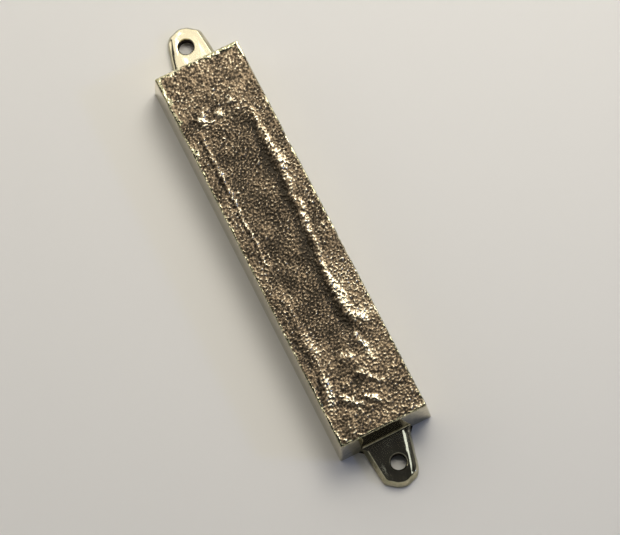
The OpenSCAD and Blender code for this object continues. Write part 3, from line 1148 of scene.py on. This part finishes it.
    def face(self, quilt: Quilt) -> np.ndarray:
        """Add the relief front.

        The face is a grid over the rectangle of the front. Its height is the face plane
        plus the relief, and within edge_r of the border it also falls by a quarter circle,
        flattened to edge_fall. The border is eaten into where it is not polished.

        Args:
            quilt: Where the patch goes.

        Returns:
            The border of the face, (2 * columns + 2 * rows, 3), as wall_loop runs.
        """
        x, y = np.meshgrid(self.spread(self.columns, self.half_w) * self.half_w,
                           self.spread(self.rows, self.half_l) * self.half_l)
        relief = Relief(self.half_w, self.half_l)
        height, polish, peak = relief.shape(x, y)
        depth = np.minimum(self.half_w - np.abs(x), self.half_l - np.abs(y))
        inner = np.clip(1 - depth / self.edge_r, 0.0, 1.0)
        drop = self.edge_r * (1 - np.sqrt(np.maximum(0.0, 1 - inner ** 2)))
        rag = relief.edge_rag
        eaten = self.edge_bite * (1 - polish) * np.exp(-depth / self.edge_fade)
        fx, fy = round_corners(x, y, self.half_w, self.half_l, self.corner_r)
        fx = fx - np.sign(x) * np.exp(-(self.half_w - np.abs(x)) / self.edge_fade) * (
            eaten + self.edge_rag * np.abs(rag(0 * x, y))) - relief.bite(x, y)
        fy = fy - np.sign(y) * np.exp(-(self.half_l - np.abs(y)) / self.edge_fade) * (
            eaten + self.edge_rag * np.abs(rag(x, 0 * y)))
        z = self.face_h + height - self.edge_fall * drop
        points = np.stack([fx, fy, z], -1)
        quilt.grid(points, polish, peak)
        return np.concatenate([points[0, :-1], points[:-1, -1], points[-1, :0:-1],
                               points[:0:-1, 0]])

    def levels(self) -> list[float]:
        """Heights of the walls' rows, from under the face to the back."""
        crease = [self.ear_t + self.crease_r * rise for rise in self.crease_rows]
        side = [z for z, _ in reversed(self.ear_profile)]
        return [*self.wall_rows, *crease, *side]

    def walls(self, quilt: Quilt, border: np.ndarray) -> dict[float, np.ndarray]:
        """Add the four walls, with a gap at each ear.

        A row is the clean outline at its height, plus the border's unevenness, which dies
        away within about a millimetre of the edge.

        Args:
            quilt: Where the patch goes.
            border: The border of the face.

        Returns:
            Height to the wall's loop at that height.
        """
        loops = {z: at_height(self.wall_loop(z), z) for z in self.levels()}
        clean = self.wall_loop(self.face_h)
        uneven = border[:, :2] - clean
        for z, loop in loops.items():
            if z > self.ear_t:
                loop[:, :2] += uneven * math.exp(-(self.face_h - z) / self.uneven_reach)
        rows = np.stack([closed(border), *(closed(loop) for loop in loops.values())])
        keep = np.ones((len(rows) - 1, rows.shape[1] - 1), bool)
        first_low = 1 + self.levels().index(self.ear_t)
        first, last = self.notch
        for start in (0, self.columns + self.rows):
            keep[first_low:, start + first:start + last] = False
        heights = np.array([self.face_h, *self.levels()])
        # Painted shade: lower rows and the end walls get a lower peak, so they are darker.
        wall_light = along_curve(self.wall_painted_light, heights)[:, None]
        ends = (np.arange(rows.shape[1]) % (self.columns + self.rows)) <= self.columns
        quilt.grid(rows, 1.0, np.where(ends, np.minimum(wall_light, self.end_painted_light), wall_light), keep)
        return loops

    def ear(self, quilt: Quilt, loops: dict[float, np.ndarray], upper: bool) -> None:
        """Add an ear: its top, its bevelled sides, its underside and its screw hole.

        The top and the underside are rings of straight rows from the hole's circle out to
        the end wall and the outline.

        Args:
            quilt: Where the patches go.
            loops: The walls' loops.
            upper: True for the ear at +Y.
        """
        start = self.columns + self.rows if upper else 0
        way = 1.0 if upper else -1.0
        centre = np.array([0.0, way * self.hole_y])
        first, last = self.notch
        span = slice(start + first, start + last + 1)

        def placed(z: float) -> np.ndarray:
            """The outline at a height, in place."""
            plan = self.ear_outline(z) * way + centre
            plan[[0, -1]] = loops[z][[span.start, span.stop - 1], :2]
            return at_height(plan, z)

        sides = np.stack([placed(z) for z in self.levels() if z <= self.ear_t])
        quilt.grid(self.rolled(sides), 1.0, 0.5)
        rings = {z: np.concatenate([placed(z)[:-1], loops[z][span][:0:-1]])
                 for z in (self.ear_t, 0.0)}
        circle = spokes(rings[self.ear_t], centre)
        mouth_r = self.hole_r + self.hole_chamfer
        rim = self.ear_t - self.hole_chamfer
        bore = [(self.hole_r, 0.0), (self.hole_r, rim * 0.5), (self.hole_r, rim)]
        rounded = [bore[-1], (self.hole_r + 0.6 * self.hole_chamfer, self.ear_t - 0.09),
                   (mouth_r, self.ear_t)]
        # Painted shade: the bore gets polish 0 and peak 0, the darkest tone, so the screw hole
        # looks dark.
        for profile, polish, peak in ((bore, 0.0, 0.0), (rounded, 1.0, 0.6)):
            loops_up = [at_height(circle * r + centre, z) for r, z in profile]
            quilt.rings(loops_up, polish, peak)
        quilt.between(at_height(circle * self.hole_r + centre, 0.0), rings[0.0], 5)
        self.ear_top(quilt, loops_up[-1], rings[self.ear_t])

    def ear_top(self, quilt: Quilt, mouth: np.ndarray, ring: np.ndarray) -> None:
        """Add the ear's top, very slightly dished by hand polishing.

        Rows run straight from the hole's mouth to the ring. The height follows a slow wave
        that is zero at both, and rises again as a low crown beside the left bevel.
        """
        share = np.concatenate([np.linspace(0.0, 0.9, 11), [0.95, 0.98, 1.0]])
        rows = rows_between(mouth, ring, share)
        wave = np.sin(0.75 * rows[..., 0] + 0.4) * np.cos(0.55 * rows[..., 1] + 0.8)
        rows[..., 2] += self.ear_dish * np.sin(np.pi * share)[:, None] ** 2 * (wave - 0.6)
        away = -rows[..., 0] * np.sign(rows[..., 1])
        crown = np.exp(-((away - 2.4) / 1.15) ** 2) * smooth(0.0, 0.25, share)[:, None]
        rows[..., 2] += self.ear_crown * crown * (1 - smooth(0.55, 1.0, share))[:, None]
        quilt.grid(self.rolled(rows))

    def back(self, quilt: Quilt, base: np.ndarray) -> None:
        """Add the rim at the back, the cover's rebate, the scroll pocket and two tapped holes.

        Every loop is the base outline scaled to another rounded rectangle.

        Args:
            quilt: Where the patches go.
            base: The walls' loop at the back.
        """
        start = base[::4, :2] / self.half_at(0.0)

        def loop(half: Pair, radius: float, z: float) -> np.ndarray:
            """The rounded rectangle of half width and length half, at height z."""
            plan = np.clip(start, -1, 1) * half
            return at_height(np.column_stack(round_corners(*plan.T, *half, radius)), z)

        rebate = loop(self.rebate_half, self.rebate_r, 0.0)
        ledge = loop(self.rebate_half, self.rebate_r, self.rebate_t)
        mouth = loop(self.pocket_half, self.pocket_r, self.rebate_t)
        quilt.taper(base, rebate)
        quilt.between(rebate, ledge, 1, 0.7, 0.7)
        land = rows_between(ledge, mouth, np.linspace(0.0, 1.0, 7))
        keep = np.ones((len(land) - 1, len(ledge)), bool)
        for way in (-1, 1):
            near = np.flatnonzero((np.abs(start[:, 0]) < 0.42) & (start[:, 1] * way > 0.99))
            first, last = near[0], near[-1]
            keep[:, first:last] = False
            ring = np.concatenate([land[0, first:last], land[:-1, last],
                                   land[-1, last:first:-1], land[:0:-1, first]])
            self.tapped_hole(quilt, ring, way * self.tapped_y)
        quilt.grid(land, 0.3, 0.45, keep)
        self.pocket(quilt, mouth, loop)

    def tapped_hole(self, quilt: Quilt, ring: np.ndarray, y: float) -> None:
        """Add a blind hole inside a ring of the land, with a coned bottom."""
        centre = np.array([0.0, y])
        circle = spokes(ring, centre) * self.tapped_r + centre
        mouth = at_height(circle, self.rebate_t)
        end = at_height(circle, self.tapped_top - self.tapped_cone)
        quilt.between(ring, mouth, 3, 0.3, 0.45)
        quilt.between(mouth, end, 4, 0.6, 0.4)
        quilt.fill(end, np.array([*centre, self.tapped_top]), 0.6, 0.4)

    def pocket(self, quilt: Quilt, mouth: np.ndarray,
               loop: Callable[[Pair, float, float], np.ndarray]) -> None:
        """Add the pocket's walls, its hollow corner and its ceiling, which closes on a line."""
        loops = [mouth]
        for angle in np.radians([0, 30, 60, 90]):
            pull = self.pocket_fillet * (1 - math.cos(angle))
            drop = self.pocket_fillet * (1 - math.sin(angle))
            half = (self.pocket_half[0] - pull, self.pocket_half[1] - pull)
            loops.append(loop(half, self.pocket_r, self.pocket_top - drop))
        for width in (6.0, 3.5):
            loops.append(loop((width, self.pocket_half[1] - 8 + width), 1.5, self.pocket_top))
        spine = loop((1e-7, 32.0), 1e-8, self.pocket_top)
        loops.append(np.round(spine, 3))
        quilt.rings(loops, 0.0, 0.3)

    def build(self) -> bpy.types.Object:
        """Build the casting and dress it.

        Returns:
            The object, which stands for the CAD node of the case.
        """
        quilt = Quilt()
        border = self.face(quilt)
        loops = self.walls(quilt, border)
        for upper in (False, True):
            self.ear(quilt, loops, upper)
        self.back(quilt, loops[0.0])
        shell = quilt.sew("case_shell")
        shell.data.materials.append(self.finish.material())
        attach(shell, "shell")
        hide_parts("case")
        return shell


# --------------------------------------------------------------------------- the back


@dataclass(frozen=True)
class WorkedBrass:
    """Brass with the fine lines of a brush or a lathe."""

    name: str
    colour: Colour
    worn: Colour
    lines: Triple
    rough: Pair = (0.24, 0.42)

    def material(self) -> bpy.types.Material:
        """Build the material."""
        paint = Paint(self.name)
        line = paint.noise(0.09, 3.0, 0.6, scale=self.lines)
        cloud = paint.noise(5.0, 3.0)
        share = (line * 0.5 + cloud * 0.5).ramp(0.35, 0.68)
        paint.bump(line, 0.012, 0.5)
        return paint.finish(Base_Color=paint.blend(share, self.worn, self.colour),
                            Roughness=(line * 0.6 + cloud * 0.4).ramp(0.3, 0.7, *self.rough),
                            Metallic=1.0)


@dataclass(frozen=True)
class Parchment:
    """Blank cream parchment, faintly mottled and darker along its fibres."""

    light: Colour = (0.80, 0.69, 0.50)
    dark: Colour = (0.56, 0.43, 0.26)

    def material(self) -> bpy.types.Material:
        """Build the material."""
        paint = Paint("parchment")
        mottle = paint.noise(3.5, 5.0, 0.6)
        fibre = paint.noise(0.5, 3.0, 0.6, scale=(1.0, 0.15, 1.0))
        share = (mottle * 0.65 + fibre * 0.35).ramp(0.34, 0.62)
        paint.bump(fibre * 0.6 + mottle * 0.4, 0.03, 0.4)
        return paint.finish(Base_Color=paint.blend(share, self.dark, self.light),
                            Roughness=fibre.ramp(0.3, 0.7, 0.55, 0.8))


@dataclass(frozen=True)
class ClearFilm:
    """Clear plastic film with a few dull smears."""

    clear: Colour = (0.96, 0.98, 0.98)
    dull: Colour = (0.90, 0.93, 0.93)
    smooth_to_dull: Pair = (0.03, 0.16)
    refraction: float = 1.46

    def material(self) -> bpy.types.Material:
        """Build the material."""
        paint = Paint("clear_film")
        smear = paint.noise(4.0, 3.0, 0.6, scale=(1.0, 0.3, 1.0))
        tint = paint.blend(smear.ramp(0.4, 0.7), self.clear, self.dull)
        rough = smear.ramp(0.4, 0.75, *self.smooth_to_dull)
        return paint.finish(Base_Color=tint, Roughness=rough,
                            Transmission_Weight=1.0, IOR=self.refraction)


@dataclass
class BackCover:
    """The plate let into the back, with rounded edges and two countersunk holes."""

    corner_r: float = 2.0
    edge: float = 0.12
    screw_y: float = 45.5
    cut_y: float = 40.5
    rows: int = 16
    columns: int = 12
    hole: Curve = ((2.26, 0.0), (2.22, 0.04), (1.31, 0.95), (1.3, 1.0))
    finish: WorkedBrass = WorkedBrass("brushed_brass", (0.80, 0.62, 0.32), (0.60, 0.43, 0.20),
                                      (1.0, 0.02, 1.0))

    def __post_init__(self) -> None:
        """Take the plate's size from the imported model."""
        low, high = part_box("back_cover")
        self.half = (high.x / MM, high.y / MM)
        self.low, self.high = low.z / MM, high.z / MM

    def end(self, inset: float) -> np.ndarray:
        """The outline of the upper end, from the right side over to the left side."""
        x, y = self.half[0] - inset, self.half[1] - inset
        radius = self.corner_r - inset
        path = np.array([[x, self.cut_y], [x, y], [-x, y], [-x, self.cut_y]])
        turns = round_turns(path, np.full(2, radius), 8, self.columns)
        rise = np.linspace(self.cut_y, y - radius, 5)
        right = np.column_stack([np.full(4, x), rise[:-1]])
        return np.concatenate([right, turns, right[::-1] * (-1, 1)])

    def outline(self, inset: float, z: float) -> np.ndarray:
        """The whole outline as a loop at height z, a half being the other one turned."""
        rise = np.linspace(-self.cut_y, self.cut_y, self.rows + 1)
        side = np.column_stack([np.full(self.rows, self.half[0] - inset), rise[:-1]])
        half = np.concatenate([side, self.end(inset)[:-1]])
        return at_height(np.concatenate([half, -half]), z)

    def side(self, quilt: Quilt, z: float) -> dict[int, np.ndarray]:
        """Add the front or the back of the plate.

        The middle is a plain grid. Each end is rings of straight rows from its outline to
        the screw hole.

        Args:
            quilt: Where the patches go.
            z: Height of this side.

        Returns:
            The directions of the points round each hole, by end.
        """
        x = np.linspace(-1, 1, self.columns + 1) * (self.half[0] - self.edge)
        y = np.linspace(-self.cut_y, self.cut_y, self.rows + 1)
        px, py = np.meshgrid(x, y)
        quilt.grid(np.stack([px, py, np.full_like(px, z)], -1))
        cut = np.column_stack([x[1:-1], np.full(self.columns - 1, self.cut_y)])
        radius = self.hole[0][0] if z == self.low else self.hole[-1][0]
        around = {}
        for way in (-1, 1):
            ring = way * np.concatenate([self.end(self.edge), cut])
            centre = np.array([0.0, way * self.screw_y])
            around[way] = spokes(ring, centre)
            circle = at_height(around[way] * radius + centre, z)
            quilt.between(at_height(ring, z), circle, 3)
        return around

    def build(self) -> bpy.types.Object:
        """Build the plate, which stands for the CAD node of the cover."""
        quilt = Quilt()
        ease = self.edge * 0.3
        edge = [(self.edge, self.low), (ease, self.low + ease), (0.0, self.low + self.edge),
                (0.0, self.high - self.edge), (ease, self.high - ease), (self.edge, self.high)]
        quilt.rings(self.outline(inset, z) for inset, z in edge)
        around = self.side(quilt, self.low)
        self.side(quilt, self.high)
        for way, circle in around.items():
            centre = np.array([0.0, way * self.screw_y])
            quilt.rings(at_height(circle * radius + centre, self.low + depth)
                        for radius, depth in self.hole)
        cover = quilt.sew("cover_plate")
        cover.data.materials.append(self.finish.material())
        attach(cover, "cover")
        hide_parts("back_cover")
        return cover


@dataclass
class CoverScrew:
    """A slotted countersunk screw that holds the cover, its head flush with the plate."""

    upper: bool
    head_r: float = 2.2
    neck_r: float = 1.25
    slot_half: float = 0.3
    slot_depth: float = 0.5
    thread_pitch: float = 0.45
    thread_depth: float = 0.2
    tip_r: float = 0.65
    tip_l: float = 0.3
    row_step: float = 0.05
    arc_points: int = 25
    finish: WorkedBrass = WorkedBrass("turned_brass", (0.84, 0.67, 0.36), (0.66, 0.48, 0.23),
                                      (1.0, 0.08, 1.0), (0.18, 0.34))

    def __post_init__(self) -> None:
        """Take the screw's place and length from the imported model."""
        self.node = "cover_screw_upper" if self.upper else "cover_screw_lower"
        low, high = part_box(self.node)
        self.low, self.high = low.z / MM, high.z / MM
        self.centre = np.array([0.0, (low.y + high.y) / 2 / MM, 0.0])

    def arc(self, depth: float) -> np.ndarray:
        """Half of the head's edge, beyond the slot, at a depth below the head's face."""
        radius = self.head_r - depth
        start = math.asin(self.slot_half / radius)
        angle = np.linspace(start, math.pi - start, self.arc_points)
        plan = np.column_stack([np.cos(angle), np.sin(angle)]) * radius
        return at_height(plan, self.low + depth)

    def head(self, quilt: Quilt) -> np.ndarray:
        """Add the head: two half moons, the cone outside them, and the slot between them.

        Args:
            quilt: Where the patches go.

        Returns:
            The full circle under the slot, as plan directions.
        """
        depths = np.linspace(0.0, self.slot_depth, 5)
        half_turn = np.array([-1.0, -1.0, 1.0])
        share = np.linspace(0, 1, self.arc_points)[:, None]
        for turn in (np.ones(3), half_turn):
            arcs = np.stack([self.arc(depth) for depth in depths]) * turn
            chords = arcs[:, :1] * (1 - share) + arcs[:, -1:] * share
            rise = np.linspace(0, 1, 5)[:, None, None]
            quilt.grid(arcs + self.centre)
            quilt.grid(chords + self.centre)
            quilt.grid(arcs[0] * (1 - rise) + chords[0] * rise + self.centre)
        radius = self.head_r - self.slot_depth
        y = np.linspace(-self.slot_half, self.slot_half, 5)[:, None]
        x = np.sqrt(radius ** 2 - y ** 2) * (1 - 2 * share.T)
        z = np.full_like(x, self.low + self.slot_depth)
        quilt.grid(np.stack([x, y + 0 * x, z], -1) + self.centre)
        ends = np.column_stack([-np.sqrt(radius ** 2 - y ** 2), -y])[1:-1]
        half = np.concatenate([self.arc(self.slot_depth)[:, :2], ends])
        return np.concatenate([half, -half]) / radius

    def shank(self, quilt: Quilt, circle: np.ndarray) -> None:
        """Add the lower cone and the threaded shank with its chamfered end.

        The thread's radius falls and rises in a rounded zigzag of height less pitch times
        angle, and the thread fades in below the neck and out at the end.
        """
        neck = self.low + self.head_r - self.neck_r
        radii = [(self.head_r - self.slot_depth, self.low + self.slot_depth),
                 (self.neck_r, neck)]
        loops = [at_height(circle * r, z) for r, z in radii]
        turns = np.unwrap(np.arctan2(circle[:, 1], circle[:, 0])) / (2 * math.pi)
        for z in np.arange(neck + 0.1, self.high - 0.02, self.row_step):
            wave = 0.5 - 0.5 * np.cos(2 * math.pi * (z / self.thread_pitch - turns))
            cut = float(smooth(neck + 0.3, neck + 0.8, np.array(z))) * self.thread_depth
            radius = self.neck_r - cut * wave ** 0.8
            taper = self.neck_r - self.thread_depth - 1.1 * (z - self.high + self.tip_l)
            if z > self.high - self.tip_l:
                radius = np.minimum(radius, max(taper, 0.7))
            loops.append(at_height(circle * np.reshape(radius, (-1, 1)), z))
        loops.append(at_height(circle * self.tip_r, self.high))
        quilt.rings(loop + self.centre for loop in loops)
        quilt.fill(loops[-1] + self.centre, self.centre + (0.0, 0.0, self.high))

    def build(self) -> bpy.types.Object:
        """Build the screw, which stands for its CAD node."""
        quilt = Quilt()
        self.shank(quilt, self.head(quilt))
        screw = quilt.sew("screw_upper" if self.upper else "screw_lower")
        screw.data.materials.append(self.finish.material())
        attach(screw, "cover_screws")
        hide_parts(self.node)
        return screw


# --------------------------------------------------------------------------- the scroll


@dataclass
class ScrollRoll:
    """A blank sheet of parchment rolled up along the case."""

    first_r: float = 1.10
    last_r: float = 3.30
    pitch: float = 0.38
    sheet_t: float = 0.30
    axis_z: float = 5.35
    half_l: float = 40.0
    per_turn: int = 44
    rows: int = 10
    finish: Parchment = field(default_factory=Parchment)

    def build(self) -> bpy.types.Object:
        """Build the roll, which stands for its CAD node.

        The section is a spiral strip: radius grows by one pitch each turn. Its two ends
        are pulled in by slow waves of the angle, as hand-cut edges are.
        """
        turns = (self.last_r - self.first_r) / self.pitch
        share = np.linspace(0.0, 1.0, round(turns * self.per_turn) + 1)
        angle = 2 * math.pi * turns * share - math.pi / 2
        inner = self.first_r + (self.last_r - self.first_r) * share
        pull = 0.10 + 0.06 * np.sin(angle * 0.9 + 1.0) + 0.04 * np.sin(angle * 0.37 + 2.5)
        there_and_back = np.append(angle, angle[::-1])
        radius = np.append(inner, inner[::-1] + self.sheet_t)
        ring = np.column_stack([radius * np.cos(there_and_back), 0 * radius,
                                radius * np.sin(there_and_back) + self.axis_z])
        reach = self.half_l - np.append(pull, pull[::-1])
        reach = np.linspace(-1, 1, self.rows + 1)[:, None] * reach
        rows = np.broadcast_to(ring, (self.rows + 1, *ring.shape)).copy()
        rows[..., 1] = reach
        quilt = Quilt()
        quilt.rings(rows)
        for row in (rows[0], rows[-1]):
            quilt.grid(np.stack([row[:len(share)], row[:len(share) - 1:-1]]))
        roll = quilt.sew("scroll_roll")
        roll.data.materials.append(self.finish.material())
        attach(roll, "roll")
        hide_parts("scroll")
        return roll


@dataclass
class ClearSleeve:
    """A clear tube round the scroll, with rounded rims."""

    outer_r: float = 3.9
    wall: float = 0.2
    half_l: float = 41.5
    axis_z: float = 5.35
    finish: ClearFilm = field(default_factory=ClearFilm)

    def build(self) -> bpy.types.Object:
        """Build the sleeve: the wall's section, half discs at its ends, turned about Y."""
        middle = self.outer_r - self.wall / 2
        bend = np.linspace(0, math.pi, 7)
        rim_r = middle + self.wall / 2 * np.cos(bend)
        rim_y = self.half_l - self.wall / 2 + self.wall / 2 * np.sin(bend)
        radius = np.concatenate([rim_r, rim_r[::-1]])
        y = np.concatenate([rim_y, -rim_y[::-1]])
        angle = np.linspace(0, 2 * math.pi, 65)[:, None]
        rows = np.stack([radius * np.cos(angle), y + 0 * angle,
                         radius * np.sin(angle) + self.axis_z], -1)
        quilt = Quilt()
        quilt.rings(rows)
        sleeve = quilt.sew("clear_sleeve", 60.0)
        sleeve.data.materials.append(self.finish.material())
        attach(sleeve, "roll")
        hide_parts("scroll_sleeve")
        return sleeve


# --------------------------------------------------------------------------- studio


@dataclass(frozen=True)
class Softbox:
    """An area light that faces the middle of the object, in metres and watts."""

    name: str
    place: Triple
    size: Pair
    power: float
    colour: Colour

    def hang(self) -> None:
        """Add the light to the scene."""
        data = bpy.data.lights.new(self.name, "AREA")
        data.shape = "RECTANGLE"
        data.size, data.size_y = self.size
        data.energy = self.power
        data.color = self.colour
        light = bpy.data.objects.new(self.name, data)
        light.location = self.place
        light.rotation_euler = Vector(self.place).to_track_quat("Z", "Y").to_euler()
        bpy.context.scene.collection.objects.link(light)


@dataclass
class Studio:
    """Pale floor, soft lights and the camera.

    The camera's aim and distance are in mm and its angles in degrees.
    """

    floor_colour: Colour = (0.80, 0.765, 0.725)
    floor_size: float = 3.0
    aim: Triple = (2.05, -7.15, 5.6)
    azimuth: float = -17.3
    elevation: float = 74.75
    roll: float = -9.31
    distance: float = 559.9
    lens: float = 138.07
    lights: tuple[Softbox, ...] = (
        Softbox("overhead", (0.18, 0.48, 0.545), (0.88, 0.71), 2.42, (1.0, 0.975, 0.87)),
        Softbox("key", (0.222, 0.19, 0.425), (0.27, 0.27), 1.14, (1.0, 0.975, 0.88)),
        Softbox("window", (1.5, -0.78, 0.95), (0.12, 0.12), 4.2, (0.30, 0.45, 1.0)),
        Softbox("fill", (-0.42, 0.50, 0.34), (0.45, 0.45), 0.75, (1.0, 0.95, 0.84)),
        Softbox("strip", (0.45, 0.10, 1.15), (0.16, 0.6), 0.36, (0.80, 0.91, 1.0)))
    room_colour: Colour = (0.93, 0.96, 1.0)
    room_low: float = 0.32
    room_high: float = 0.02
    room_rise: Pair = (0.45, 0.85)
    room_length: Pair = (-0.8, 0.8)
    room_sides: Pair = (0.6, 1.4)

    def camera(self) -> None:
        """Place the camera from its azimuth, elevation, distance and roll about the aim."""
        az, el = math.radians(self.azimuth), math.radians(self.elevation)
        away = Vector((math.sin(az) * math.cos(el), -math.cos(az) * math.cos(el),
                       math.sin(el)))
        right = Vector((0, 0, 1)).cross(away).normalized()
        up = away.cross(right)
        turn = Matrix((right, up, away)).transposed() @ Matrix.Rotation(
            math.radians(self.roll), 3, "Z")
        data = bpy.data.cameras.new("camera")
        data.lens = self.lens
        data.sensor_width = 36.0
        data.clip_start = 0.01
        camera = bpy.data.objects.new("camera", data)
        camera.matrix_world = turn.to_4x4()
        camera.location = (Vector(self.aim) + away * self.distance) * MM
        bpy.context.scene.collection.objects.link(camera)
        bpy.context.scene.camera = camera

    def floor(self) -> None:
        """Lay the floor under the object's back."""
        half = self.floor_size / 2
        z = CAD_BOUNDS[0][2]
        corners = np.array([[-half, -half, z], [half, -half, z], [half, half, z],
                            [-half, half, z]])
        floor = mesh_object("floor", corners, np.array([[0, 1, 2], [0, 2, 3]]))
        paint = Paint("floor")
        floor.data.materials.append(paint.finish(Base_Color=self.floor_colour, Roughness=0.55))

    def sky(self) -> None:
        """Surround the scene with a room, light near the floor and beyond the upper ear."""
        world = bpy.data.worlds.new("room")
        bpy.context.scene.world = world
        world.use_nodes = True
        graph = Graph(world.node_tree)
        place = graph.node("ShaderNodeTexCoord").outputs["Generated"]
        parts = graph.node("ShaderNodeSeparateXYZ", inputs={"Vector": place}).outputs
        side = Value(graph, parts["Y"]).ramp(*self.room_length, *self.room_sides)
        rise = Value(graph, parts["Z"]).ramp(*self.room_rise, self.room_low, self.room_high)
        light = graph.node("ShaderNodeBackground",
                           inputs={"Color": self.room_colour, "Strength": rise * side})
        graph.node("ShaderNodeOutputWorld", inputs={"Surface": light.outputs["Background"]})

    def build(self) -> None:
        """Set up the floor, the camera, the lights and the room."""
        self.camera()
        self.floor()
        for light in self.lights:
            light.hang()
        self.sky()
        bpy.context.scene.view_settings.view_transform = "Standard"


def main() -> None:
    """Build the studio and each piece."""
    logging.basicConfig(level=logging.INFO, format="%(message)s")
    Studio().build()
    for piece in (CaseShell(), BackCover(), CoverScrew(upper=True), CoverScrew(upper=False),
                  ScrollRoll(), ClearSleeve()):
        piece.build()


if __name__ == "__main__":
    main()
